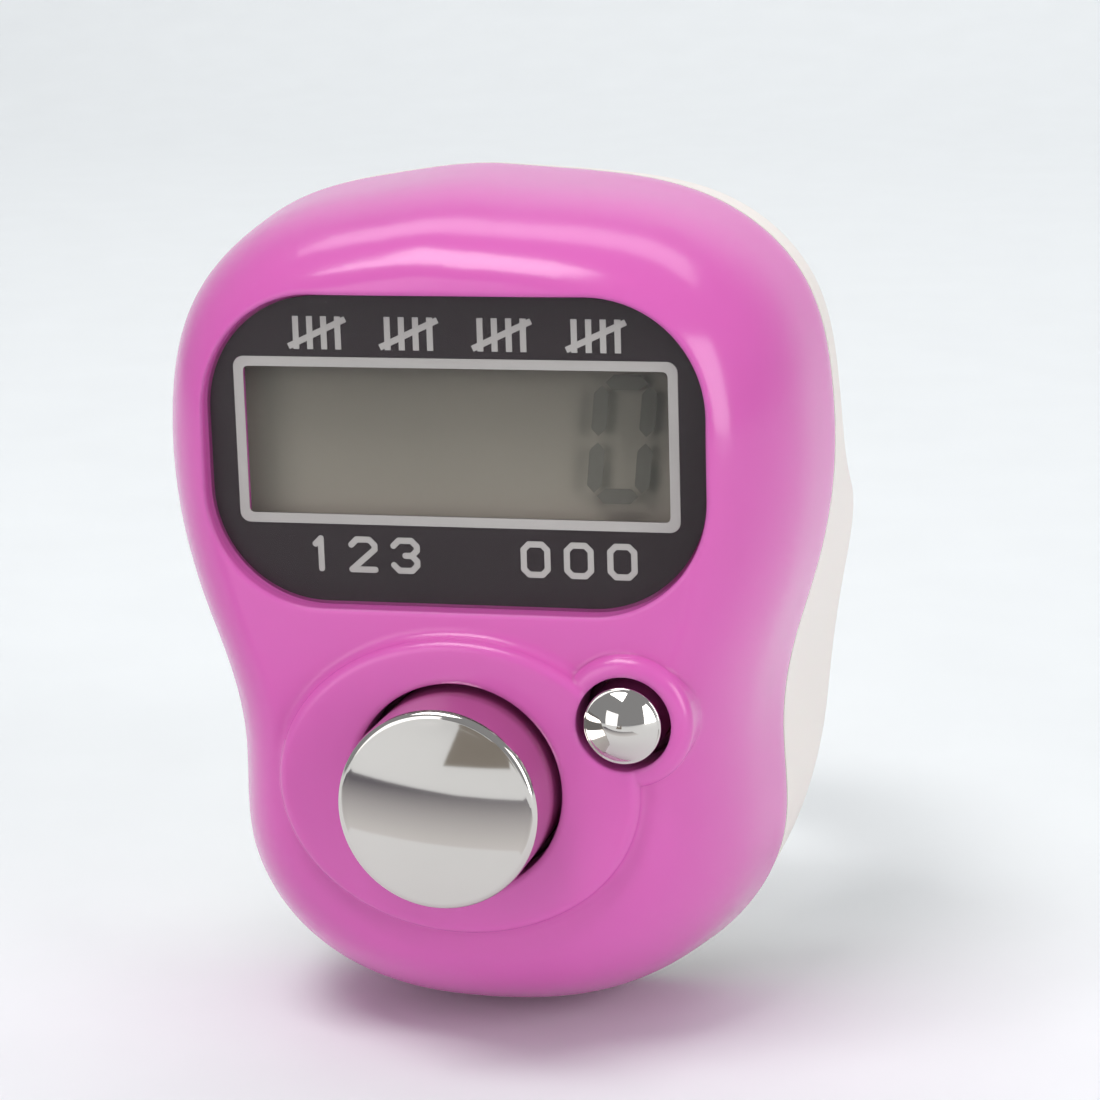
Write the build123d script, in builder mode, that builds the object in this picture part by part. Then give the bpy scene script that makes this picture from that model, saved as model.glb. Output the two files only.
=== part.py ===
"""Finger-ring electronic tally counter.

The origin is the centre of the finger loop. +Z is up, +X is the wearer's right when reading
the display, and the display faces -Y. Depths are measured backwards from the flat front face.
"""
import math
import os
from build123d import *

os.makedirs("parts", exist_ok=True)

# ---- driving dimensions (mm) ----
LOOP_R = 9.3              # finger loop
SADDLE_DEPTH = 16.0       # front face to the bottom of the saddle
FACE_Y = -(SADDLE_DEPTH + LOOP_R)
SEAM = 11.5               # depth of the joint between the two shells
SEAM_GAP = 0.15
DRAFT = math.tan(math.radians(2.5))
REAR_DRAFT = math.tan(math.radians(1.0))
LOW_DRAFT = 0.08          # extra draft that grows towards the bottom of the front shell
LOW_DRAFT_TOP = 12.0      # height where the extra draft starts
LOW_DRAFT_SPAN = 20.0
EAR_FLARE = 0.06          # the rear shell's ears lean out by this much per mm of depth
EAR_Z = -3.0
EAR_SPAN = 6.0

# shell outline at the seam, right half from top to bottom: (half width, height)
HALF_OUTLINE = [(5.1, 21.9), (10.2, 20.6), (14.1, 17.1), (15.4, 12.0), (15.35, 7.1), (14.5, 3.0),
                (13.4, -0.6), (12.85, -4.5), (12.8, -10.1), (10.1, -14.7), (5.3, -17.3)]
TOP_Z = 22.3
BOTTOM_Z = -17.9
MID_Z = (TOP_Z + BOTTOM_Z) / 2
HALF_W = 15.0
HALF_H = (TOP_Z - BOTTOM_Z) / 2

ROLL_IN = 3.7             # front edge roll: how far in and how deep
ROLL_DEEP = 8.4
WALL = 1.6
FRONT_WALL = 1.8
INNER_ROLL_IN = 3.6
INNER_ROLL_DEEP = 6.6

LENS_W = 23.1
LENS_H = 14.2
LENS_R = 5.3
LENS_Z = 10.6
LENS_T = 0.9
LENS_FRONT = 0.05         # depth of the lens face
INK_T = 0.06
TAPE_T = 0.1
POCKET_DEPTH = 1.16
LENS_GAP = 0.12

LCD_Z = 11.0
FRAME_W = 20.6            # white line around the display
FRAME_H = 7.7
FRAME_LINE = 0.45
VIEW_W = FRAME_W - 2 * FRAME_LINE
VIEW_H = FRAME_H - 2 * FRAME_LINE
GLASS_W = 21.6
GLASS_T = 0.5
GLASS_SIDE_GAP = 0.35
GLASS_TOP = 15.8
GLASS_BOTTOM = 4.8
REAR_GLASS_BOTTOM = 6.9
LCD_FRONT = 1.9           # depth of the front polariser's face
POLAR_T = 0.12
CELL_GAP = 0.04

BOARD_DEPTH = 5.4
BOARD_T = 1.0

COUNT_Z = -4.65
COUNT_R = 4.63
COUNT_HOLE_R = 4.93
COUNT_BOSS = 0.9          # height of the boss above the face
COUNT_BOSS_RX = 8.5
COUNT_BOSS_RZ = 6.95
COUNT_BOSS_EDGE = 0.42
COUNT_HOLE_EDGE = 0.25    # rounding of the hole's front edge
COUNT_PROUD = 3.3         # cap edge above the boss
COUNT_TRAVEL = 1.2
RESET_X = 7.85
RESET_Z = -1.3
RESET_R = 1.78
RESET_HOLE_R = 2.18
RESET_BOSS = 0.7
RESET_BOSS_R = 3.1
RESET_BOSS_EDGE = 0.6
RESET_TRAVEL = 0.8
FLANGE_DEPTH = FRONT_WALL + 0.12

CELL_R = 5.8              # LR1130 button cell
CELL_H = 3.1
CELL_DEPTH = 10.9
WELL_R = 6.1
WELL_WALL = 0.9
CAVITY_BACK = 14.6

COVER_T = 1.15
COVER_X = 6.8
COVER_TOP = 9.8
COVER_BOTTOM = -7.4
COVER_SCREW_Z = 7.9

STRAP_T = 1.4
STRAP_W = 8.0
STRAP_ANGLE = 27.0        # strap pins sit this far in front of the loop's widest point
BARREL_R = 1.3
PIN_R = 0.6
PIN_RADIUS = LOOP_R + BARREL_R
POCKET_W = STRAP_W + 0.4

CASE_SCREWS = [(8.7, 18.6), (-8.7, 18.6), (7.4, -12.4), (-7.4, -12.4)]
BOARD_SCREWS = [(-9.2, -1.2), (9.0, -7.8), (-8.4, -8.6)]
CASE_FLOOR = 12.7         # depth under the case screw heads
CASE_TIP = 7.2
BOARD_HEAD_R = 1.05
BOARD_TIP = 3.2
COVER_TIP = 12.8
SLOT_W = 0.28             # arms of a screw's cross slot
CASE_SHAFT_R = 0.6
CASE_HEAD_R = 1.35
COVER_SHAFT_R = 0.6
COVER_HEAD_R = 1.25


# ---- shared shapes ----
def depth_plane(depth):
    """Sketch plane at a depth behind the face: x is X, y is Z."""
    return Plane.XZ.offset(-(FACE_Y + depth))


def axis_plane(x, z):
    """Plane for turned shapes on a Y axis: x is radius, y is depth."""
    return Plane(origin=(x, FACE_Y, z), x_dir=(1, 0, 0), z_dir=(0, 0, 1))


def y_axis(x, z):
    return Axis((x, FACE_Y, z), (0, 1, 0))


def roll(depth, reach, deep):
    """Elliptical roll of an edge: inward reach left at a depth."""
    rest = max(deep - depth, 0) / deep
    return reach * (1 - math.sqrt(max(1 - rest * rest, 0)))


def drawn_in(x, z, inset, low_inset, flare):
    """A point of the outline moved in; low_inset acts at the bottom, flare widens the ears."""
    low = min(max((LOW_DRAFT_TOP - z) / LOW_DRAFT_SPAN, 0), 1)
    move = inset + low_inset * low
    ear = flare * math.exp(-((z - EAR_Z) / EAR_SPAN) ** 2)
    return (x * (1 - (move - ear) / HALF_W), MID_Z + (z - MID_Z) * (1 - move / HALF_H))


def outline_points(inset, low_inset, flare):
    right = [(0, TOP_Z)] + HALF_OUTLINE + [(0, BOTTOM_Z)]
    left = [(-x, z) for x, z in reversed(HALF_OUTLINE)]
    return [drawn_in(x, z, inset, low_inset, flare) for x, z in right + left]


def outline_sketch(depth, inset):
    low_inset = max(SEAM - depth, 0) * LOW_DRAFT
    flare = max(depth - SEAM, 0) * EAR_FLARE
    with BuildSketch(depth_plane(depth)) as sketch:
        with BuildLine():
            Spline(*outline_points(inset, low_inset, flare), periodic=True)
        make_face()
    return sketch


def outer_inset(depth):
    return roll(depth, ROLL_IN, ROLL_DEEP) + (SEAM - depth) * DRAFT


def inner_inset(depth):
    return WALL + roll(depth - FRONT_WALL, INNER_ROLL_IN, INNER_ROLL_DEEP) + (SEAM - depth) * DRAFT


def save(part, name):
    part.label = name
    export_step(part, f"parts/{name}.step")


def outline_loft(depths, inset_at):
    """Solid through the outline at each depth."""
    with BuildPart() as block:
        for depth in depths:
            add(outline_sketch(depth, inset_at(depth)).sketch)
        loft()
    return block.part


def disc(x, z, radius, depth_front, depth_back):
    with BuildPart() as block:
        with BuildSketch(depth_plane(depth_back)):
            with Locations((x, z)):
                Circle(radius)
        extrude(amount=depth_back - depth_front)
    return block.part


def plate(x, z, width, height, depth_front, depth_back, corner=0):
    with BuildPart() as block:
        with BuildSketch(depth_plane(depth_back)):
            with Locations((x, z)):
                if corner:
                    RectangleRounded(width, height, corner)
                else:
                    Rectangle(width, height)
        extrude(amount=depth_back - depth_front)
    return block.part


def pad(x, z, rx, rz, height, corner):
    """Raised flat-topped pad on the face, with a soft edge."""
    with BuildPart() as block:
        with BuildSketch(depth_plane(3.0)):
            with Locations((x, z)):
                Ellipse(rx, rz)
        extrude(amount=3.0 + height)
        fillet(block.faces().sort_by(Axis.Y)[0].edges(), corner)
    return block.part


def on_count_foot(edge):
    """True for the edge where the count boss meets the flat face."""
    point = edge.position_at(0.3)
    radius = (point.X / COUNT_BOSS_RX) ** 2 + ((point.Z - COUNT_Z) / COUNT_BOSS_RZ) ** 2
    return abs(radius - 1) < 0.02 and abs(point.Y - FACE_Y) < 0.01


def on_count_hole(edge):
    """True for the front edge of the count button's hole."""
    return abs(edge.radius - COUNT_HOLE_R) < 0.01 and abs(edge.center().Y - FACE_Y + COUNT_BOSS) < 0.01


# ---- front shell ----
OUTER_DEPTHS = [0, 0.25, 0.8, 1.8, 3.4, 5.6, ROLL_DEEP, SEAM]
INNER_DEPTHS = [FRONT_WALL, 2.0, 2.5, 3.4, 4.8, 6.4, FRONT_WALL + INNER_ROLL_DEEP, SEAM + 0.5]
POST_R = 1.75
BOARD_POST_R = 1.35
CASE_PILOT_R = 0.62
BOARD_PILOT_R = 0.5
CASE_POST_BACK = 11.3
CASE_PILOT_DEEP = 4.5
BOARD_PILOT_DEEP = 2.6
POST_ROOT = 1.0           # posts start inside the front wall
RESET_FLANGE_R = 2.55
RESET_POCKET_R = RESET_FLANGE_R + 0.3
VIEW_GAP = 0.2            # the shell's window stands back from the printed one

shell_block = outline_loft(OUTER_DEPTHS, outer_inset)
shell_cavity = outline_loft(INNER_DEPTHS, inner_inset)
count_pad = pad(0, COUNT_Z, COUNT_BOSS_RX, COUNT_BOSS_RZ, COUNT_BOSS, COUNT_BOSS_EDGE)
reset_pad = pad(RESET_X, RESET_Z, RESET_BOSS_R, RESET_BOSS_R, RESET_BOSS, RESET_BOSS_EDGE)
GLASS_MID = (GLASS_TOP + GLASS_BOTTOM) / 2
WELL_H = GLASS_TOP - GLASS_BOTTOM + 0.8
WELL_CORNER = 1.1
lcd_well = plate(0, GLASS_MID, GLASS_W + 2 * GLASS_SIDE_GAP, WELL_H, FRONT_WALL + 0.02, BOARD_DEPTH + 1.1,
                 WELL_CORNER)

with BuildPart() as posts:
    for x, z in CASE_SCREWS:
        add(disc(x, z, POST_R, POST_ROOT, CASE_POST_BACK))
    for x, z in BOARD_SCREWS:
        add(disc(x, z, BOARD_POST_R, POST_ROOT, BOARD_DEPTH))
post_parts = posts.part & shell_block

with BuildPart() as front_shell:
    add(shell_block)
    add(count_pad)
    fillet(front_shell.edges().filter_by(on_count_foot), COUNT_BOSS_EDGE)
    add(reset_pad)
    add(shell_cavity, mode=Mode.SUBTRACT)
    add(lcd_well, mode=Mode.SUBTRACT)
    add(disc(RESET_X, RESET_Z, RESET_POCKET_R, FRONT_WALL + 0.01, 4), mode=Mode.SUBTRACT)
    add(post_parts)
    # lens pocket, display window and button holes
    with BuildSketch(depth_plane(POCKET_DEPTH)):
        with Locations((0, LENS_Z)):
            RectangleRounded(LENS_W + 2 * LENS_GAP, LENS_H + 2 * LENS_GAP, LENS_R + LENS_GAP)
    extrude(amount=POCKET_DEPTH + 1, mode=Mode.SUBTRACT)
    with BuildSketch(depth_plane(4)):
        with Locations((0, LCD_Z)):
            Rectangle(VIEW_W + 2 * VIEW_GAP, VIEW_H + 2 * VIEW_GAP)
        with Locations((0, COUNT_Z)):
            Circle(COUNT_HOLE_R)
        with Locations((RESET_X, RESET_Z)):
            Circle(RESET_HOLE_R)
    extrude(amount=6, mode=Mode.SUBTRACT)
    # screw pilots
    with BuildSketch(depth_plane(CASE_POST_BACK)):
        with Locations(*CASE_SCREWS):
            Circle(CASE_PILOT_R)
    extrude(amount=CASE_PILOT_DEEP, mode=Mode.SUBTRACT)
    with BuildSketch(depth_plane(BOARD_DEPTH)):
        with Locations(*BOARD_SCREWS):
            Circle(BOARD_PILOT_R)
    extrude(amount=BOARD_PILOT_DEEP, mode=Mode.SUBTRACT)
    fillet(front_shell.edges().filter_by(GeomType.CIRCLE).filter_by(on_count_hole), COUNT_HOLE_EDGE)
save(front_shell.part, "front_shell")


# ---- rear shell ----
# side profile of the rear shell: (depth, height)
BACK_PROFILE = [(13.3, 20.9), (14.7, 17.6), (15.3, 13.6), (16.4, 9.8), (18.6, 7.4), (21.4, 5.4),
                (23.6, 2.6), (24.3, -0.8), (23.8, -4.4), (21.8, -7.8), (18.9, -10.1), (16.3, -12.4),
                (14.4, -15.2)]
SHELL_FRONT = SEAM + SEAM_GAP
LIP = 1.3
LIP_GAP = 0.15
LIP_T = 0.8
CAVITY_SHRINK = 1.4       # thickness of the rear shell's back wall
HEAD_GAP = 0.2            # radial room round a case screw's head
CROWN_FLAT = 9.0          # the back is flat across this far from the middle, then rolls off
CROWN_REACH = 7.0
CROWN_DEEP = 3.2
CROWN_STATIONS = [0, CROWN_FLAT, 10.5, 12.5, 14.0, 15.0, 15.8]


def crown(x, deep):
    out = min(max(abs(x) - CROWN_FLAT, 0) / CROWN_REACH, 1)
    return deep * (1 - math.sqrt(1 - out * out))


def back_prism(shrink, crown_deep):
    """Side profile swept across the shell, rolling off towards its sides; shrink moves it in."""
    stations = [-x for x in reversed(CROWN_STATIONS[1:])] + CROWN_STATIONS
    top = (FACE_Y + SEAM, TOP_Z + 0.2 - shrink)
    bottom = (FACE_Y + SEAM, BOTTOM_Z - 0.2 + shrink)
    with BuildPart() as block:
        for x in stations:
            drop = shrink + crown(x, crown_deep)
            profile = [(FACE_Y + depth - drop, z * (1 - drop / 20)) for depth, z in BACK_PROFILE]
            with BuildSketch(Plane.YZ.offset(x)):
                with BuildLine():
                    Spline(top, *profile, bottom)
                    Polyline(bottom, (FACE_Y + SEAM - 2, bottom[1]), (FACE_Y + SEAM - 2, top[1]), top)
                make_face()
        loft()
    return block.part


def rear_inset(depth):
    return (depth - SEAM) * REAR_DRAFT


def rear_inner_inset(depth):
    return WALL + (depth - SEAM) * REAR_DRAFT


def lip_inset(depth):
    return WALL + LIP_GAP + (SEAM - depth) * DRAFT


rear_block = outline_loft([SHELL_FRONT, 17, 23.5], rear_inset) & back_prism(0, CROWN_DEEP)
rear_cavity = outline_loft([SEAM - 1, 13, CAVITY_BACK], rear_inner_inset) & back_prism(CAVITY_SHRINK, 0)
lip_outer = outline_loft([SEAM - LIP, SHELL_FRONT + 0.6], lip_inset)
lip_inner = outline_loft([SEAM - LIP - 1, SHELL_FRONT + 1], lambda depth: lip_inset(depth) + LIP_T)


def loop_cylinder(radius, low, high):
    """Cylinder on the finger loop's axis."""
    with BuildPart() as block:
        with BuildSketch(Plane.XY.offset(low)):
            Circle(radius)
        extrude(amount=high - low)
    return block.part


def loop_ring(inner, outer, low, high, from_angle, to_angle):
    """Ring sector on the finger loop's axis; angles run from +X towards +Y."""
    sweep = to_angle - from_angle
    far = 3 * outer
    steps = 8
    rays = [math.radians(from_angle + sweep * k / steps) for k in range(steps + 1)]
    with BuildPart() as block:
        with BuildSketch(Plane.XY.offset(low)):
            with BuildLine():
                Polyline((0, 0), *[(far * math.cos(a), far * math.sin(a)) for a in rays], (0, 0))
            make_face()
            Circle(outer, mode=Mode.INTERSECT)
            Circle(inner, mode=Mode.SUBTRACT)
        extrude(amount=high - low)
    return block.part


PIN_X = PIN_RADIUS * math.cos(math.radians(STRAP_ANGLE))
PIN_Y = -PIN_RADIUS * math.sin(math.radians(STRAP_ANGLE))
PIN_LOW = -5.6
PIN_HIGH = 5.8
POCKET_OUT = LOOP_R + 2 * BARREL_R + 0.2

with BuildPart() as strap_pockets:
    for first, last in [(-STRAP_ANGLE, 30), (150, 180 + STRAP_ANGLE)]:
        add(loop_ring(LOOP_R - 0.4, POCKET_OUT, -POCKET_W / 2, POCKET_W / 2, first, last))
    with BuildSketch(Plane.XY.offset(-POCKET_W / 2)):
        with Locations((PIN_X, PIN_Y), (-PIN_X, PIN_Y)):
            Circle(BARREL_R + 0.2)
    extrude(amount=POCKET_W)

with BuildPart() as pin_holes:
    with BuildSketch(Plane.XY.offset(PIN_LOW - 0.1)):
        with Locations((PIN_X, PIN_Y), (-PIN_X, PIN_Y)):
            Circle(PIN_R + 0.03)
    extrude(amount=20)

CASE_BOSS_R = 2.3
COVER_BOSS_R = 1.6
COVER_Z = (COVER_TOP + COVER_BOTTOM) / 2
COVER_H = COVER_TOP - COVER_BOTTOM
COVER_SEAT = LOOP_R + 0.05 + COVER_T
cover_hole = plate(0, COVER_Z, 2 * COVER_X + 0.3, COVER_H + 0.3, 12, 24, 1.2) & loop_cylinder(
    COVER_SEAT + 0.1, -30, 30)
well_wall = disc(0, 0, WELL_R + WELL_WALL, 9.3, 15.5)
screw_boss = disc(0, COVER_SCREW_Z, COVER_BOSS_R, 12, 15.5)
boss_space = rear_block + outline_loft([SEAM - 1, SHELL_FRONT + 0.5], lambda d: WALL + 0.2)
case_bosses = [disc(x, z, CASE_BOSS_R, CASE_POST_BACK + 0.05, 16) & boss_space for x, z in CASE_SCREWS]

cover_tab_slot = plate(0, COVER_BOTTOM - 0.6, 5.4, 2.6, CAVITY_BACK - 0.2, SADDLE_DEPTH - 0.45)
leaf_slot = plate(6.6, 0, 2.4, 3.8, 9, CAVITY_BACK)

with BuildPart() as rear_shell:
    add(rear_block)
    add(rear_cavity, mode=Mode.SUBTRACT)
    add(lip_outer)
    add(lip_inner, mode=Mode.SUBTRACT)
    for x, z in CASE_SCREWS:
        add(disc(x, z, POST_R + 0.2, 9, CASE_POST_BACK + 0.1), mode=Mode.SUBTRACT)
    add(well_wall)
    add(screw_boss)
    for boss in case_bosses:
        add(boss)
    add(loop_cylinder(LOOP_R, -30, 30), mode=Mode.SUBTRACT)
    add(cover_hole, mode=Mode.SUBTRACT)
    add(disc(0, 0, WELL_R, 9, 24), mode=Mode.SUBTRACT)
    add(leaf_slot, mode=Mode.SUBTRACT)
    add(cover_tab_slot, mode=Mode.SUBTRACT)
    add(disc(0, COVER_SCREW_Z, COVER_SHAFT_R + 0.02, 12.4, 16), mode=Mode.SUBTRACT)
    add(strap_pockets.part, mode=Mode.SUBTRACT)
    add(pin_holes.part, mode=Mode.SUBTRACT)
    for x, z in CASE_SCREWS:
        add(disc(x, z, CASE_SHAFT_R + 0.2, 11, 13), mode=Mode.SUBTRACT)
        add(disc(x, z, CASE_HEAD_R + HEAD_GAP, CASE_FLOOR, 24), mode=Mode.SUBTRACT)
save(rear_shell.part, "rear_shell")


# ---- lens and its printing ----
INK_FRONT = LENS_FRONT + LENS_T + 0.01
INK_BACK = INK_FRONT + INK_T
MARK_LINE = 0.28
TITLE_Z = 15.95
GATES = [-6.25, -1.95, 2.35, 6.65]
GATE_H = 1.5
LABEL_Z = 5.75
COUNT_LABEL_X = -4.5
RESET_LABEL_X = 5.6
FIGURE_PITCH = 2.0
FIGURE_W = 0.55           # half width and half height of a figure's centre line
FIGURE_H = 0.7

with BuildPart() as lens:
    with BuildSketch(depth_plane(LENS_FRONT + LENS_T)):
        with Locations((0, LENS_Z)):
            RectangleRounded(LENS_W, LENS_H, LENS_R)
    extrude(amount=LENS_T)
    chamfer(lens.faces().sort_by(Axis.Y)[0].edges(), 0.22)
save(lens.part, "lens")


def figure(number, x, width):
    """One of the figures 0 to 3 drawn as a line of constant width, centred on x."""
    w = FIGURE_W
    h = FIGURE_H
    c = 0.25                  # corner cut
    strokes = {
        0: [[(w - c, h), (w, h - c), (w, c - h), (w - c, -h), (c - w, -h), (-w, c - h), (-w, h - c),
             (c - w, h), (w - c, h)]],
        1: [[(-c, h - c), (0, h), (0, -h)]],
        2: [[(-w, h - c), (c - w, h), (w - c, h), (w, h - c), (w, c), (-w, -h), (w, -h)]],
        3: [[(-w, h - c), (c - w, h), (w - c, h), (w, h - c), (w, c), (w - c, 0), (0, 0)],
            [(w - c, 0), (w, -c), (w, c - h), (w - c, -h), (c - w, -h), (-w, c - h)]],
    }[number]
    for stroke in strokes:
        for (x1, z1), (x2, z2) in zip(stroke, stroke[1:]):
            length = math.hypot(x2 - x1, z2 - z1) + width
            angle = math.degrees(math.atan2(z2 - z1, x2 - x1))
            with Locations((x + (x1 + x2) / 2, LABEL_Z + (z1 + z2) / 2)):
                SlotOverall(length, width, rotation=angle)


def marks_sketch(grow):
    """White line round the display, four tally gates above it and figures below it."""
    with BuildSketch(depth_plane(INK_BACK)) as sketch:
        with Locations((0, LCD_Z)):
            RectangleRounded(FRAME_W + 2 * grow, FRAME_H + 2 * grow, 0.5)
            RectangleRounded(VIEW_W, VIEW_H, 0.25, mode=Mode.SUBTRACT)
        line = MARK_LINE + 2 * grow
        for gate_x in GATES:
            for stroke in (-0.99, -0.33, 0.33, 0.99):
                with Locations((gate_x + stroke, TITLE_Z)):
                    Rectangle(line, GATE_H + 2 * grow)
            with Locations((gate_x, TITLE_Z)):
                Rectangle(3.0 + 2 * grow, line, rotation=25)
        for place, number in enumerate([1, 2, 3]):
            figure(number, COUNT_LABEL_X + (place - 1) * FIGURE_PITCH, line)
            figure(0, RESET_LABEL_X + (place - 1) * FIGURE_PITCH, line)
    return sketch.sketch


with BuildPart() as lens_marks:
    extrude(marks_sketch(0), amount=INK_T)
save(lens_marks.part, "lens_marks")

with BuildPart() as marks_clearance:
    extrude(marks_sketch(0.01), amount=INK_T)

with BuildPart() as lens_mask:
    add(plate(0, LENS_Z, LENS_W - 0.1, LENS_H - 0.1, INK_FRONT, INK_BACK, LENS_R - 0.05))
    add(plate(0, LCD_Z, VIEW_W + 0.2, VIEW_H + 0.2, 0, 2), mode=Mode.SUBTRACT)
    add(marks_clearance.part, mode=Mode.SUBTRACT)
save(lens_mask.part, "lens_mask")

TAPE_FRONT = INK_BACK + 0.01
with BuildPart() as lens_tape:
    add(plate(0, LENS_Z, LENS_W - 0.4, LENS_H - 0.4, TAPE_FRONT, TAPE_FRONT + TAPE_T, LENS_R - 0.2))
    add(plate(0, LCD_Z, VIEW_W + 0.8, VIEW_H + 0.8, 0, 2), mode=Mode.SUBTRACT)
save(lens_tape.part, "lens_tape")


# ---- liquid crystal cell ----
FRONT_GLASS = LCD_FRONT + POLAR_T + 0.01
REAR_GLASS = FRONT_GLASS + GLASS_T + CELL_GAP
REFLECTOR = REAR_GLASS + GLASS_T + 0.01
REAR_GLASS_MID = (GLASS_TOP + REAR_GLASS_BOTTOM) / 2
REAR_GLASS_H = GLASS_TOP - REAR_GLASS_BOTTOM
POLAR_H = 8.4
DIGIT_X = 7.35
DIGIT_W = 2.2
DIGIT_H = 5.2
SEGMENT = 0.7
SEGMENT_GAP = 0.14
SLANT = 6

lcd_front_polariser = plate(0, REAR_GLASS_MID, GLASS_W - 0.6, POLAR_H, LCD_FRONT, LCD_FRONT + POLAR_T)
save(lcd_front_polariser, "lcd_front_polariser")
lcd_front_glass = plate(0, GLASS_MID, GLASS_W, GLASS_TOP - GLASS_BOTTOM, FRONT_GLASS, FRONT_GLASS + GLASS_T)
save(lcd_front_glass, "lcd_front_glass")
lcd_rear_glass = plate(0, REAR_GLASS_MID, GLASS_W, REAR_GLASS_H, REAR_GLASS, REAR_GLASS + GLASS_T)
save(lcd_rear_glass, "lcd_rear_glass")
lcd_reflector = plate(0, REAR_GLASS_MID, GLASS_W - 0.6, POLAR_H, REFLECTOR, REFLECTOR + 0.18)
save(lcd_reflector, "lcd_reflector")


def segment(x, z, length, upright):
    """Six-cornered display segment, slanted with the digit."""
    half = length / 2 - SEGMENT_GAP
    side = SEGMENT / 2
    corners = [(-half, 0), (-half + side, side), (half - side, side),
               (half, 0), (half - side, -side), (-half + side, -side)]
    if upright:
        corners = [(b, a) for a, b in corners]
    lean = math.tan(math.radians(SLANT))
    points = [(x + a + (z + b) * lean, z + b) for a, b in corners]
    Polygon(*points, align=None)


with BuildPart() as lcd_digit:
    with BuildSketch(depth_plane(REAR_GLASS - 0.01)):
        for side_x in (-DIGIT_W / 2, DIGIT_W / 2):
            for side_z in (-DIGIT_H / 4, DIGIT_H / 4):
                segment(side_x, side_z, DIGIT_H / 2, True)
        for end_z in (-DIGIT_H / 2, DIGIT_H / 2):
            segment(0, end_z, DIGIT_W, False)
    extrude(amount=0.02)
digit_part = lcd_digit.part.moved(Location((DIGIT_X, 0, LCD_Z)))
save(digit_part, "lcd_digit")

with BuildPart() as lcd_holder:
    add(plate(0, REAR_GLASS_MID, GLASS_W - 0.2, REAR_GLASS_H - 0.2, REFLECTOR + 0.2, BOARD_DEPTH - 0.02))
    add(plate(0, REAR_GLASS_MID, GLASS_W - 4, REAR_GLASS_H - 3, 0, 8), mode=Mode.SUBTRACT)
save(lcd_holder.part, "lcd_holder")

zebra_strip = plate(0, 5.8, GLASS_W - 1.2, 1.5, FRONT_GLASS + GLASS_T + 0.01, BOARD_DEPTH - 0.01)
save(zebra_strip, "zebra_strip")


# ---- circuit board and what is soldered to it ----
BOARD_BACK = BOARD_DEPTH + BOARD_T
BOARD_INSET = 3.0
BOARD_SHAFT_R = 0.48

with BuildPart() as circuit_board:
    extrude(outline_sketch(BOARD_BACK, BOARD_INSET).sketch, amount=BOARD_T)
    for x, z in CASE_SCREWS:
        add(disc(x, z, POST_R + 0.25, 4, 8), mode=Mode.SUBTRACT)
    for x, z in BOARD_SCREWS:
        add(disc(x, z, BOARD_SHAFT_R + 0.2, 4, 8), mode=Mode.SUBTRACT)
save(circuit_board.part, "circuit_board")

with BuildPart() as contact_pads:
    with BuildSketch(depth_plane(BOARD_DEPTH - 0.01)):
        for x, z in [(0, COUNT_Z), (RESET_X, RESET_Z)]:
            with Locations((x, z)):
                Circle(1.4)
                Rectangle(0.3, 4, mode=Mode.SUBTRACT)
    extrude(amount=0.04)
save(contact_pads.part, "contact_pads")

with BuildPart() as chip_blob:
    with BuildSketch(axis_plane(0, 12.4)):
        with BuildLine():
            top = (0, BOARD_BACK + 1.2)
            ThreePointArc(top, (2.3, BOARD_BACK + 0.75), (3.3, BOARD_BACK + 0.02))
            Polyline((3.3, BOARD_BACK + 0.02), (0, BOARD_BACK + 0.02), top)
        make_face()
    revolve(axis=y_axis(0, 12.4))
save(chip_blob.part, "chip_blob")

with BuildPart() as chip_capacitors:
    for x, z in [(6.4, 15.2), (6.4, 12.6)]:
        add(plate(x, z, 1.6, 0.8, BOARD_BACK + 0.02, BOARD_BACK + 0.82, 0.08))
save(chip_capacitors.part, "chip_capacitors")

with BuildPart() as chip_resistors:
    for x, z in [(-6.4, 15.2), (-6.4, 12.6)]:
        add(plate(x, z, 1.6, 0.8, BOARD_BACK + 0.02, BOARD_BACK + 0.47, 0.08))
save(chip_resistors.part, "chip_resistors")


# ---- buttons and their rubber domes ----
def turned(x, z, points, top_arc=None):
    """Solid of revolution about a Y axis; points are (radius, depth), top_arc a crowned end."""
    with BuildPart() as block:
        with BuildSketch(axis_plane(x, z)):
            with BuildLine():
                if top_arc:
                    ThreePointArc(*top_arc)
                    Polyline(top_arc[2], *points, top_arc[0])
                else:
                    Polyline(*points, close=True)
            make_face()
        revolve(axis=y_axis(x, z))
    return block.part


COUNT_EDGE = -(COUNT_BOSS + COUNT_PROUD)
FLANGE_T = 0.75
STEM_R = 1.6
COUNT_FLANGE_R = 5.6
COUNT_SKIRT_R = COUNT_R - 1
COUNT_CAP_T = 1.2
RESET_FLANGE_T = 0.6
DOME_GAP = 0.04           # between a button and its dome at rest
count_crown = [(0, COUNT_EDGE - 0.28), (2.4, COUNT_EDGE - 0.2), (COUNT_R - 0.35, COUNT_EDGE)]
count_body = turned(0, COUNT_Z, [
    (COUNT_R - 0.08, COUNT_EDGE + 0.12), (COUNT_R, COUNT_EDGE + 0.4), (COUNT_R, FLANGE_DEPTH),
    (COUNT_FLANGE_R, FLANGE_DEPTH), (COUNT_FLANGE_R, FLANGE_DEPTH + FLANGE_T),
    (COUNT_SKIRT_R, FLANGE_DEPTH + FLANGE_T), (COUNT_SKIRT_R, COUNT_EDGE + COUNT_CAP_T),
    (STEM_R, COUNT_EDGE + COUNT_CAP_T), (STEM_R, FLANGE_DEPTH + FLANGE_T),
    (0, FLANGE_DEPTH + FLANGE_T)], count_crown)
save(count_body, "count_button")

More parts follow.
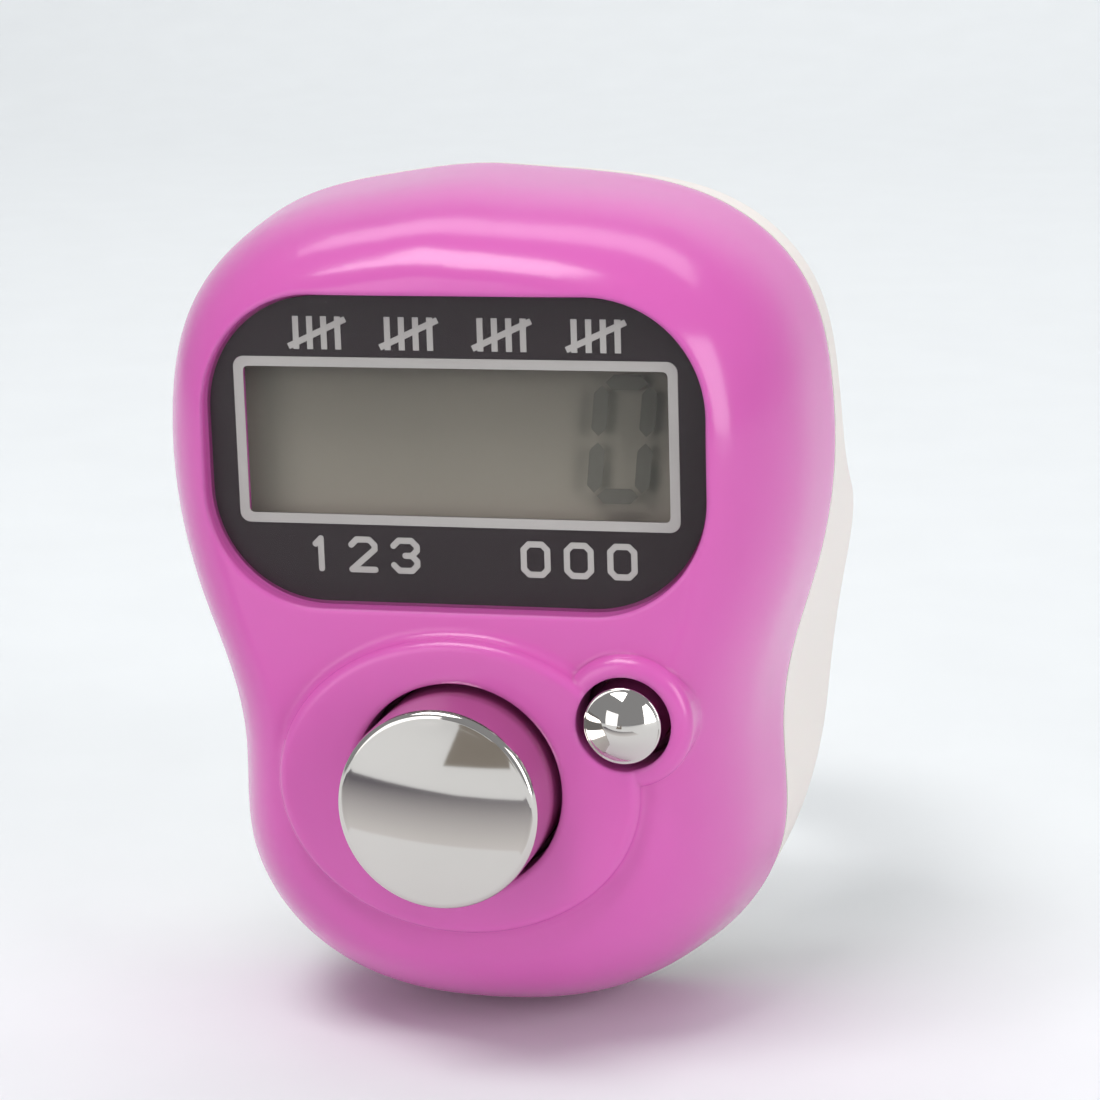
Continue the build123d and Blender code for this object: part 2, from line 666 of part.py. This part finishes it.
RESET_EDGE = -(RESET_BOSS + 0.35)
reset_crown = [(0, RESET_EDGE - 0.75), (1.0, RESET_EDGE - 0.56), (RESET_R, RESET_EDGE)]
reset_body = turned(RESET_X, RESET_Z, [
    (RESET_R, FLANGE_DEPTH), (RESET_FLANGE_R, FLANGE_DEPTH),
    (RESET_FLANGE_R, FLANGE_DEPTH + RESET_FLANGE_T), (0, FLANGE_DEPTH + RESET_FLANGE_T)], reset_crown)
save(reset_body, "reset_button")

DOME_FOOT = BOARD_DEPTH - 0.06


def dome(x, z, head_r, foot_r, head_depth):
    """Silicone dome: solid head on a thin skirt with a flat foot."""
    return turned(x, z, [
        (0, head_depth), (head_r, head_depth), (head_r, head_depth + 0.45),
        (foot_r - 0.9, DOME_FOOT - 0.5), (foot_r, DOME_FOOT - 0.5), (foot_r, DOME_FOOT),
        (foot_r - 1.2, DOME_FOOT), (foot_r - 1.25, DOME_FOOT - 0.3), (head_r - 0.35, head_depth + 0.8),
        (head_r - 0.5, head_depth + 1.05), (0, head_depth + 1.05)])


save(dome(0, COUNT_Z, 1.9, 4.3, FLANGE_DEPTH + FLANGE_T + DOME_GAP), "count_dome")
save(dome(RESET_X, RESET_Z, 1.2, 2.7, FLANGE_DEPTH + RESET_FLANGE_T + DOME_GAP), "reset_dome")


# ---- button cell and battery contacts ----
CELL_BACK = CELL_DEPTH + CELL_H
button_cell = turned(0, 0, [
    (0, CELL_DEPTH), (4.9, CELL_DEPTH), (5.0, CELL_DEPTH + 0.1), (5.0, CELL_DEPTH + 0.5),
    (5.6, CELL_DEPTH + 0.6), (CELL_R, CELL_DEPTH + 0.8), (CELL_R, CELL_BACK - 0.3),
    (CELL_R - 0.3, CELL_BACK), (0, CELL_BACK)])
save(button_cell, "button_cell")

LEAF_T = 0.2
LEAF_W = 3.0


def leaf(plane, points):
    """Bent metal strip, centred on its plane."""
    with BuildPart() as block:
        with BuildSketch(plane):
            with BuildLine() as path:
                Polyline(*points)
            trace(line_width=LEAF_T)
        extrude(amount=LEAF_W / 2, both=True)
    return block.part


def y_at(depth):
    return FACE_Y + depth


contact_minus = leaf(Plane.YZ, [
    (y_at(BOARD_BACK + 0.13), -8.4), (y_at(BOARD_BACK + 0.13), -4.2), (y_at(CELL_DEPTH - 0.15), 1.6),
    (y_at(CELL_DEPTH - 0.15), 2.6), (y_at(CELL_DEPTH - 0.7), 3.4)])
save(contact_minus, "contact_minus")
contact_plus = leaf(Plane.XY, [
    (9.8, y_at(BOARD_BACK + 0.13)), (7.5, y_at(BOARD_BACK + 0.13)), (7.5, y_at(CELL_BACK + 0.14)),
    (3.4, y_at(CELL_BACK + 0.14))])
save(contact_plus, "contact_plus")


# ---- battery cover ----
COVER_OUT = LOOP_R + 0.05
cover_head_floor = SADDLE_DEPTH - 0.8
with BuildPart() as battery_cover:
    add(plate(0, COVER_Z, 2 * COVER_X, COVER_H, 12, 24, 1.1)
        & loop_ring(COVER_OUT, COVER_SEAT, -20, 20, -180, 0))
    add(disc(0, 0, 3.0, CELL_BACK + 0.3, SADDLE_DEPTH - 0.6))
    add(plate(0, COVER_BOTTOM - 0.6, 5.0, 2.0, SADDLE_DEPTH - COVER_T, SADDLE_DEPTH - 0.6))
    add(disc(0, COVER_SCREW_Z, COVER_SHAFT_R + 0.15, 12, 18), mode=Mode.SUBTRACT)
    add(disc(0, COVER_SCREW_Z, COVER_HEAD_R + 0.12, cover_head_floor, 18), mode=Mode.SUBTRACT)
save(battery_cover.part, "battery_cover")


# ---- screws ----
def screw(x, z, floor, head_r, head_h, shaft_r, tip):
    """Pan-head cross-slot screw driven from the back: head behind floor, tip ahead of it."""
    with BuildPart() as block:
        add(turned(x, z, [
            (shaft_r, floor), (shaft_r, tip + 0.4), (shaft_r - 0.3, tip), (0, tip),
            (0, floor + head_h), (head_r - 0.3, floor + head_h), (head_r, floor + head_h - 0.3),
            (head_r, floor)]))
        with BuildSketch(depth_plane(floor + head_h)):
            with Locations((x, z)):
                Rectangle(head_r * 1.2, SLOT_W)
                Rectangle(SLOT_W, head_r * 1.2)
        extrude(amount=head_h * 0.55, mode=Mode.SUBTRACT)
    return block.part


with BuildPart() as case_screws:
    for x, z in CASE_SCREWS:
        add(screw(x, z, CASE_FLOOR + 0.01, CASE_HEAD_R, 0.8, CASE_SHAFT_R, CASE_TIP))
save(case_screws.part, "case_screws")

with BuildPart() as board_screws:
    for x, z in BOARD_SCREWS:
        add(screw(x, z, BOARD_BACK + 0.01, BOARD_HEAD_R, 0.65, BOARD_SHAFT_R, BOARD_TIP))
save(board_screws.part, "board_screws")

cover_screw = screw(0, COVER_SCREW_Z, cover_head_floor + 0.01, COVER_HEAD_R, 0.6, COVER_SHAFT_R, COVER_TIP)
save(cover_screw, "cover_screw")


# ---- finger strap and its pins ----
with BuildPart() as finger_strap:
    add(loop_ring(LOOP_R + 0.02, LOOP_R + STRAP_T, -STRAP_W / 2, STRAP_W / 2,
                  -STRAP_ANGLE, 180 + STRAP_ANGLE))
    with BuildSketch(Plane.XY.offset(-STRAP_W / 2)):
        with Locations((PIN_X, PIN_Y), (-PIN_X, PIN_Y)):
            Circle(BARREL_R)
    extrude(amount=STRAP_W)
    with BuildSketch(Plane.XY.offset(-STRAP_W / 2)):
        with Locations((PIN_X, PIN_Y), (-PIN_X, PIN_Y)):
            Circle(PIN_R + 0.05)
    extrude(amount=STRAP_W, mode=Mode.SUBTRACT)
save(finger_strap.part, "finger_strap")

with BuildPart() as strap_pins:
    with BuildSketch(Plane.XY.offset(PIN_LOW)):
        with Locations((PIN_X, PIN_Y), (-PIN_X, PIN_Y)):
            Circle(PIN_R)
    extrude(amount=PIN_HIGH - PIN_LOW)
    chamfer(strap_pins.edges().filter_by(GeomType.CIRCLE), 0.15)
save(strap_pins.part, "strap_pins")
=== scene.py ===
"""Looks of the finger tally counter: materials, floor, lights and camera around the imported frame."""
import math
import bpy
from mathutils import Matrix, Vector


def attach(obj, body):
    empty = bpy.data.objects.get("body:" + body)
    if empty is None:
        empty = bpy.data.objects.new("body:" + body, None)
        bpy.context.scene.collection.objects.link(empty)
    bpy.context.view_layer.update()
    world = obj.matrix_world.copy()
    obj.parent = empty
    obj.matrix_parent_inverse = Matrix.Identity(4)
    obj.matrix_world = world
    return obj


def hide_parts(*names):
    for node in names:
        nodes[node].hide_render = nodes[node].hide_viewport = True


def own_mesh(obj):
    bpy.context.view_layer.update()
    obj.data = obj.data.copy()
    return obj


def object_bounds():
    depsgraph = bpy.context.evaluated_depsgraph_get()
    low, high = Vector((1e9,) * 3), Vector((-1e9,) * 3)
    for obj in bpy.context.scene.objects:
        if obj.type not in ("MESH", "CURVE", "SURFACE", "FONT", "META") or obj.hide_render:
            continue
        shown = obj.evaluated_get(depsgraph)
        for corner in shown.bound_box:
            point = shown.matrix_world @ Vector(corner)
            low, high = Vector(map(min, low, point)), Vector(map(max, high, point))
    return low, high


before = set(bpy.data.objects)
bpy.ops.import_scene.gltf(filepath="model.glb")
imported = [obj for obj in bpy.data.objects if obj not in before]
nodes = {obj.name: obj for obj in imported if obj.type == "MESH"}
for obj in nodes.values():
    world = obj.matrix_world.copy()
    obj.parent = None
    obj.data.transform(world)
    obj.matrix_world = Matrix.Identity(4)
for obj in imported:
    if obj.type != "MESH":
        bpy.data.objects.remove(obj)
cad_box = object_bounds()
floor_level = cad_box[0][2]

MM = 0.001
FACE_Y = -0.0253

# Broad noise varies colour and gloss; the smear does the same on clear pieces. Features per metre.
BROAD_SCALE = 120.0
SMEAR_SCALE = 260.0
COLOUR_SWING = 2.5
GLOSS_SWING = 0.35
SMEAR_SWING = 2.5
COAT_ROUGHNESS = 0.12
SKIN_COLOUR_DEPTHS = (1.0, 0.5, 0.7)
SKIN_DEPTH = 0.0015
BEVEL_SAMPLES = 8


# ---- node material helpers ----
def new_material(name):
    material = bpy.data.materials.new(name)
    material.use_nodes = True
    tree = material.node_tree
    return material, tree, tree.nodes["Principled BSDF"]


def object_noise(tree, scale, detail):
    """Noise in object space; scale is features per metre."""
    coords = tree.nodes.new("ShaderNodeTexCoord")
    noise = tree.nodes.new("ShaderNodeTexNoise")
    noise.inputs["Scale"].default_value = scale
    noise.inputs["Detail"].default_value = detail
    tree.links.new(coords.outputs["Object"], noise.inputs["Vector"])
    return noise.outputs["Fac"]


def ramp(tree, fac, low_colour, high_colour):
    node = tree.nodes.new("ShaderNodeValToRGB")
    for element, colour in zip(node.color_ramp.elements, (low_colour, high_colour)):
        element.color = (*colour, 1.0)
    tree.links.new(fac, node.inputs["Fac"])
    return node.outputs["Color"]


def span(tree, fac, low, high):
    node = tree.nodes.new("ShaderNodeMapRange")
    node.inputs["To Min"].default_value = low
    node.inputs["To Max"].default_value = high
    tree.links.new(fac, node.inputs["Value"])
    return node.outputs["Result"]


def bump(tree, shader, height, distance, soften):
    """Bump from a height; soften rounds the look of sharp edges by that radius."""
    node = tree.nodes.new("ShaderNodeBump")
    node.inputs["Distance"].default_value = distance
    tree.links.new(height, node.inputs["Height"])
    if soften:
        rounded = tree.nodes.new("ShaderNodeBevel")
        rounded.samples = BEVEL_SAMPLES
        rounded.inputs["Radius"].default_value = soften
        tree.links.new(rounded.outputs["Normal"], node.inputs["Normal"])
    tree.links.new(node.outputs["Normal"], shader.inputs["Normal"])


def shade(colour, factor):
    return tuple(min(1.0, c * factor) for c in colour)


def surface(name, colour, rough, vary=0.04, grain=900.0, grain_depth=2e-6, metallic=0.0, coat=0.0,
            specular=0.5, subsurface=0.0, soften=0.0):
    """Plain moulded or printed surface: slight colour and gloss variation and a fine grain."""
    material, tree, shader = new_material(name)
    broad = object_noise(tree, BROAD_SCALE, 4.0)
    fine = object_noise(tree, grain, 2.0)
    swing = COLOUR_SWING * vary
    paint = ramp(tree, broad, shade(colour, 1 - swing), shade(colour, 1 + swing))
    gloss = span(tree, broad, rough * (1 - GLOSS_SWING), rough * (1 + GLOSS_SWING))
    tree.links.new(paint, shader.inputs["Base Color"])
    tree.links.new(gloss, shader.inputs["Roughness"])
    bump(tree, shader, fine, grain_depth, soften)
    shader.inputs["Metallic"].default_value = metallic
    shader.inputs["Specular IOR Level"].default_value = specular
    if coat:
        shader.inputs["Coat Weight"].default_value = coat
        shader.inputs["Coat Roughness"].default_value = COAT_ROUGHNESS
    if subsurface:
        shader.inputs["Subsurface Weight"].default_value = subsurface
        shader.inputs["Subsurface Radius"].default_value = SKIN_COLOUR_DEPTHS
        shader.inputs["Subsurface Scale"].default_value = SKIN_DEPTH
    return material


def clear(name, colour, opacity, rough=0.02, ior=1.49):
    """Clear window material: mostly see-through with a glossy, slightly smeared surface."""
    material, tree, shader = new_material(name)
    smear = object_noise(tree, SMEAR_SCALE, 5.0)
    gloss = span(tree, smear, rough, rough * SMEAR_SWING)
    paint = ramp(tree, smear, shade(colour, 0.97), colour)
    tree.links.new(gloss, shader.inputs["Roughness"])
    tree.links.new(paint, shader.inputs["Base Color"])
    shader.inputs["IOR"].default_value = ior
    shader.inputs["Alpha"].default_value = opacity
    return material


def dress(material, *names):
    for name in names:
        data = nodes[name].data
        data.materials.clear()
        data.materials.append(material)


# ---- materials ----
PINK = (0.63, 0.115, 0.43)
CREAM = (0.8, 0.735, 0.69)
CHROME = (0.64, 0.61, 0.58)

pink = surface("pink_plastic", PINK, 0.21, vary=0.02, coat=0.2, specular=0.4, subsurface=0.15,
               soften=0.0004)
cream = surface("cream_plastic", CREAM, 0.38, vary=0.02, subsurface=0.15, soften=0.0003)
dress(pink, "front_shell")
dress(cream, "rear_shell", "battery_cover")
dress(surface("strap_rubber", (0.74, 0.67, 0.64), 0.5, grain=2500.0, grain_depth=4e-6, soften=0.0003),
      "finger_strap")
dress(surface("black_print", (0.018, 0.011, 0.014), 0.4, specular=0.35), "lens_mask")
dress(surface("white_print", (0.42, 0.4, 0.385), 0.5, vary=0.08), "lens_marks")
dress(surface("adhesive_tape", (0.05, 0.05, 0.05), 0.7), "lens_tape")
dress(clear("clear_acrylic", (0.1, 0.09, 0.09), opacity=0.04), "lens")
dress(clear("cell_glass", (0.3, 0.32, 0.3), opacity=0.04), "lcd_front_glass", "lcd_rear_glass")
dress(clear("polariser", (0.3, 0.3, 0.25), opacity=0.1, rough=0.2), "lcd_front_polariser")
dress(surface("reflector_film", (0.6, 0.53, 0.44), 0.45, vary=0.05), "lcd_reflector")
dress(surface("liquid_crystal", (0.17, 0.16, 0.14), 0.6), "lcd_digit")
dress(surface("white_plastic", (0.8, 0.8, 0.78), 0.4), "lcd_holder")
dress(surface("strip_rubber", (0.6, 0.35, 0.4), 0.6), "zebra_strip")
dress(surface("board_laminate", (0.03, 0.2, 0.07), 0.3, vary=0.2), "circuit_board")
dress(surface("carbon_print", (0.03, 0.03, 0.03), 0.6), "contact_pads")
dress(surface("epoxy", (0.015, 0.015, 0.015), 0.15), "chip_blob")
dress(surface("chip_ceramic", (0.4, 0.27, 0.16), 0.5), "chip_capacitors")
dress(surface("chip_black", (0.03, 0.03, 0.03), 0.4), "chip_resistors")
silicone = surface("silicone", (0.75, 0.75, 0.72), 0.45, subsurface=0.1)
chrome = surface("chrome_plate", CHROME, 0.05, vary=0.02, metallic=1.0, grain=260.0, grain_depth=1.5e-6)
dress(surface("steel_can", (0.7, 0.69, 0.66), 0.25, metallic=1.0), "button_cell")
dress(surface("spring_metal", (0.72, 0.7, 0.64), 0.25, metallic=1.0), "contact_minus", "contact_plus")
dress(surface("screw_steel", (0.55, 0.55, 0.56), 0.35, metallic=1.0),
      "case_screws", "board_screws", "cover_screw", "strap_pins")

# Light passes through the clear layers in front of the display.
for name in ("lens", "lcd_front_polariser", "lcd_front_glass", "lcd_rear_glass"):
    nodes[name].visible_shadow = False


# ---- finely turned buttons and domes; sizes in mm, depths inwards from the display face ----
AROUND = 160
DOME_AROUND = 72
CROWN_STEPS = 24
BOARD_DEPTH = 5.34
FLANGE_FRONT = 1.92
LAND = 0.1

COUNT_X = 0
COUNT_Z = -4.65
COUNT_R = 4.63
COUNT_FLANGE_R = 5.6
COUNT_BACK = 2.67
COUNT_HOLLOW_R = 3.63
COUNT_HOLLOW_TOP = -3.0
COUNT_STEM_R = 1.6

RESET_X = 7.85
RESET_Z = -1.3
RESET_R = 1.78
RESET_FLANGE_R = 2.55
RESET_BACK = 2.52

DOME_FOOT_T = 0.5
DOME_SKIRT_IN = 0.9


def place(x, depth, z):
    """Scene place of a point given in mm: across, in from the display face, and up."""
    return (x * MM, FACE_Y + depth * MM, z * MM)


def new_piece(name, verts, faces, material, smooth):
    mesh = bpy.data.meshes.new(name)
    mesh.from_pydata(verts, [], faces)
    mesh.polygons.foreach_set("use_smooth", [smooth] * len(faces))
    mesh.materials.append(material)
    piece = bpy.data.objects.new(name, mesh)
    bpy.context.scene.collection.objects.link(piece)
    return piece


def soft_corners(points, reach=0.05):
    """Each inner corner of a profile becomes two points close to it."""
    out = [points[0]]
    for before, corner, after in zip(points, points[1:], points[2:]):
        for other in (before, after):
            step = Vector(other) - Vector(corner)
            out.append(tuple(Vector(corner) + step.normalized() * min(reach, step.length / 3)))
    return out + [points[-1]]


def turned(name, node, body, x, z, profile, material, around=AROUND):
    """Solid of revolution about a Y axis that stands for a CAD node. The profile is (radius, depth)
    and starts and ends on the axis."""
    verts = [place(x, depth, z) for depth in (profile[0][1], profile[-1][1])]
    for radius, depth in profile[1:-1]:
        for k in range(around):
            a = 2 * math.pi * k / around
            verts.append(place(x + radius * math.cos(a), depth, z + radius * math.sin(a)))
    last = len(verts) - around
    faces = [(0, 2 + k, 2 + (k + 1) % around) for k in range(around)]
    faces += [(1, last + (k + 1) % around, last + k) for k in range(around)]
    for start in range(2, last, around):
        for k in range(around):
            here, beside = start + k, start + (k + 1) % around
            faces.append((here, here + around, beside + around, beside))
    piece = new_piece(name, verts, faces, material, True)
    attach(piece, body)
    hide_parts(node)
    return piece


def button(name, node, body, x, z, radius, edge, crown, roll, under):
    """Chrome cap crowned by crown, with an edge rolled by roll; the rest of its profile is under."""
    flat = radius - roll
    steps = [k / CROWN_STEPS for k in range(CROWN_STEPS + 1)]
    profile = [(flat * step, edge - crown * (1 - step ** 2)) for step in steps]
    turns = [math.radians(a) for a in range(10, 91, 10)]
    profile += [(flat + roll * math.sin(a), edge + roll * (1 - math.cos(a))) for a in turns]
    profile += soft_corners([(radius, edge + roll + LAND)] + under)
    turned(name, node, body, x, z, profile, chrome)


def rubber_dome(name, node, x, z, head_r, foot_r, head):
    """Silicone dome standing on the board under its button. The real dome flattens onto the board as the
    button goes in; this one is built in its rest shape.
    """
    foot = BOARD_DEPTH
    outside = [(0, head), (head_r, head), (head_r, head + 0.45),
               (foot_r - DOME_SKIRT_IN, foot - DOME_FOOT_T), (foot_r, foot - DOME_FOOT_T), (foot_r, foot)]
    inside = [(foot_r - 1.2, foot), (foot_r - 1.25, foot - 0.3), (head_r - 0.35, head + 0.8),
              (head_r - 0.5, head + 1.05), (0, head + 1.05)]
    profile = soft_corners(outside + inside, 0.12)
    piece = turned(name, node, "case", x, z, profile, silicone, DOME_AROUND)
    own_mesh(piece)


button("count_cap", "count_button", "count", COUNT_X, COUNT_Z, COUNT_R,
       edge=-4.2, crown=0.28, roll=0.35,
       under=[(COUNT_R, FLANGE_FRONT), (COUNT_FLANGE_R, FLANGE_FRONT), (COUNT_FLANGE_R, COUNT_BACK),
              (COUNT_HOLLOW_R, COUNT_BACK), (COUNT_HOLLOW_R, COUNT_HOLLOW_TOP),
              (COUNT_STEM_R, COUNT_HOLLOW_TOP), (COUNT_STEM_R, COUNT_BACK), (0, COUNT_BACK)])
button("reset_cap", "reset_button", "reset", RESET_X, RESET_Z, RESET_R,
       edge=-1.05, crown=0.75, roll=0.12,
       under=[(RESET_R, FLANGE_FRONT), (RESET_FLANGE_R, FLANGE_FRONT), (RESET_FLANGE_R, RESET_BACK),
              (0, RESET_BACK)])
rubber_dome("count_rubber", "count_dome", COUNT_X, COUNT_Z,
            head_r=1.9, foot_r=4.3, head=2.71)
rubber_dome("reset_rubber", "reset_dome", RESET_X, RESET_Z,
            head_r=1.2, foot_r=2.7, head=2.56)


# ---- stage ----
FLOOR_FRONT = -1.2
FLOOR_BEND = 0.35
BEND_R = 0.25
BACKDROP_TOP = 1.5
FLOOR_HALF_WIDTH = 1.5

# Two cards that show only in glossy reflections, as painted reflections in the chrome caps: a dark band
# on the floor that fades to pale grey, and an upright brown-grey patch.
CARD_LEVEL = floor_level + 0.001
LOW_CARD = [(-0.08, -0.058), (0.03, -0.052), (0.03, -0.074), (-0.01, -0.08), (-0.045, -0.09),
            (-0.08, -0.105)]
LOW_CARD_FRONT = -0.082
LOW_CARD_BACK = -0.052
PEAK_CARD = [(-0.0212, CARD_LEVEL), (0.004, CARD_LEVEL), (0.004, 0.002), (-0.006, -0.0085),
             (-0.0158, -0.005)]
PEAK_CARD_Y = -0.115
PAINTED_REFLECTION_DARK = (0.1, 0.09, 0.11)
PAINTED_REFLECTION_PALE = (0.75, 0.74, 0.73)
PAINTED_REFLECTION_BROWN = (0.36, 0.32, 0.27)

AIM = (0.0, -0.02, 0.0)
# name: place, aim, width, height, watts
LIGHTS = {
    "key": ((-0.10, -0.18, 0.42), AIM, 0.25, 0.2, 1.12),
    "fill": ((0.38, -0.22, 0.12), AIM, 0.2, 0.3, 0.8),
    "front": ((-0.25, -0.45, 0.1), AIM, 0.3, 0.3, 0.48),
    "backdrop": ((0.0, 0.25, 0.6), (0.0, 0.6, 0.0), 0.8, 0.3, 2.0),
}

ROOM_COLOUR = (0.85, 0.87, 0.9, 1)
ROOM_STRENGTH = 0.4
SEEN_COLOUR = (0.85, 0.87, 0.88, 1)


def area_light(name, spot, aim, width, height, watts):
    data = bpy.data.lights.new(name, "AREA")
    data.shape = "RECTANGLE"
    data.size = width
    data.size_y = height
    data.energy = watts
    light = bpy.data.objects.new(name, data)
    light.location = spot
    light.rotation_euler = (Vector(aim) - Vector(spot)).to_track_quat("-Z", "Y").to_euler()
    bpy.context.scene.collection.objects.link(light)


def mixed(tree, choice, shader, other, target):
    """The target takes shader where choice is 0 and other where it is 1."""
    mix = tree.nodes.new("ShaderNodeMixShader")
    for source, socket in zip((choice, shader, other), mix.inputs):
        tree.links.new(source, socket)
    tree.links.new(mix.outputs["Shader"], target.inputs["Surface"])


def see_through_below(material):
    """The floor can be looked through from underneath."""
    tree = material.node_tree
    side = tree.nodes.new("ShaderNodeNewGeometry")
    gone = tree.nodes.new("ShaderNodeBsdfTransparent")
    mixed(tree, side.outputs["Backfacing"], tree.nodes["Principled BSDF"].outputs["BSDF"],
          gone.outputs["BSDF"], tree.nodes["Material Output"])
    return material


def floor_sweep():
    """Pale floor that curves up behind into a backdrop."""
    turns = [math.radians(a) for a in range(10, 91, 10)]
    profile = [(FLOOR_FRONT, floor_level), (FLOOR_BEND, floor_level)]
    profile += [(FLOOR_BEND + BEND_R * math.sin(a), floor_level + BEND_R - BEND_R * math.cos(a))
                for a in turns]
    profile.append((FLOOR_BEND + BEND_R, floor_level + BACKDROP_TOP))
    verts = [(x, y, z) for y, z in profile for x in (-FLOOR_HALF_WIDTH, FLOOR_HALF_WIDTH)]
    faces = [(2 * k, 2 * k + 1, 2 * k + 3, 2 * k + 2) for k in range(len(profile) - 1)]
    paper = see_through_below(surface("floor_paper", (0.8, 0.82, 0.83), 0.8, vary=0.01))
    floor = new_piece("studio_floor", verts, faces, paper, True)


def reflection_card(name, corners, colour, faded, fade_from, fade_to):
    """Card that shows only in glossy reflections, where its colour is a painted reflection; the colour
    fades along Y between two places.
    """
    material, tree, shader = new_material(name + "_paint")
    coords = tree.nodes.new("ShaderNodeTexCoord")
    split = tree.nodes.new("ShaderNodeSeparateXYZ")
    fade = tree.nodes.new("ShaderNodeMapRange")
    fade.inputs["From Min"].default_value = fade_from
    fade.inputs["From Max"].default_value = fade_to
    tree.links.new(coords.outputs["Object"], split.inputs["Vector"])
    tree.links.new(split.outputs["Y"], fade.inputs["Value"])
    tree.links.new(ramp(tree, fade.outputs["Result"], colour, faded), shader.inputs["Base Color"])
    shader.inputs["Roughness"].default_value = 0.9
    card = new_piece(name, corners, [tuple(range(len(corners)))], material, False)
    card.visible_camera = False
    card.visible_diffuse = False
    card.visible_shadow = False
    card.visible_transmission = False


floor_sweep()
# Painted reflection: a dark band, fading to pale grey, that only the glossy caps reflect.
reflection_card("painted_reflection_low", [(x, y, CARD_LEVEL) for x, y in LOW_CARD], PAINTED_REFLECTION_DARK, PAINTED_REFLECTION_PALE,
                LOW_CARD_FRONT, LOW_CARD_BACK)
# Painted reflection: an upright brown-grey patch that only the glossy caps reflect.
reflection_card("painted_reflection_peak", [(x, PEAK_CARD_Y, z) for x, z in PEAK_CARD], PAINTED_REFLECTION_BROWN, PAINTED_REFLECTION_BROWN,
                -0.12, -0.11)
for name, (spot, aim, width, height, watts) in LIGHTS.items():
    area_light(name, spot, aim, width, height, watts)

# The room lights the counter softly, and the camera sees a paler background behind it.
world = bpy.data.worlds.new("studio")
bpy.context.scene.world = world
world.use_nodes = True
room_tree = world.node_tree
room = room_tree.nodes["Background"]
room.inputs["Color"].default_value = ROOM_COLOUR
room.inputs["Strength"].default_value = ROOM_STRENGTH
seen = room_tree.nodes.new("ShaderNodeBackground")
seen.inputs["Color"].default_value = SEEN_COLOUR
path = room_tree.nodes.new("ShaderNodeLightPath")
mixed(room_tree, path.outputs["Is Camera Ray"], room.outputs["Background"],
      seen.outputs["Background"], room_tree.nodes["World Output"])

# ---- camera ----
AZIMUTH = math.radians(14.49)
ELEVATION = math.radians(13.23)
ROLL = math.radians(-1.73)
DISTANCE = 0.150
TARGET = Vector((0.00453, -0.0253, 0.00645))
SENSOR = 36
FOCAL_LENGTH = 110.2
NEAREST = 0.01

bpy.context.scene.view_settings.view_transform = "Standard"
back = Vector((math.sin(AZIMUTH) * math.cos(ELEVATION), -math.cos(AZIMUTH) * math.cos(ELEVATION),
               math.sin(ELEVATION)))
level = (-back).cross(Vector((0, 0, 1))).normalized()
upright = level.cross(-back)
right = level * math.cos(ROLL) + upright * math.sin(ROLL)
up = upright * math.cos(ROLL) - level * math.sin(ROLL)
camera_data = bpy.data.cameras.new("camera")
camera_data.sensor_width = SENSOR
camera_data.lens = FOCAL_LENGTH
camera_data.clip_start = NEAREST
camera = bpy.data.objects.new("camera", camera_data)
turn = Matrix((right, up, back)).transposed().to_4x4()
camera.matrix_world = Matrix.Translation(TARGET + back * DISTANCE) @ turn
bpy.context.scene.collection.objects.link(camera)
bpy.context.scene.camera = camera
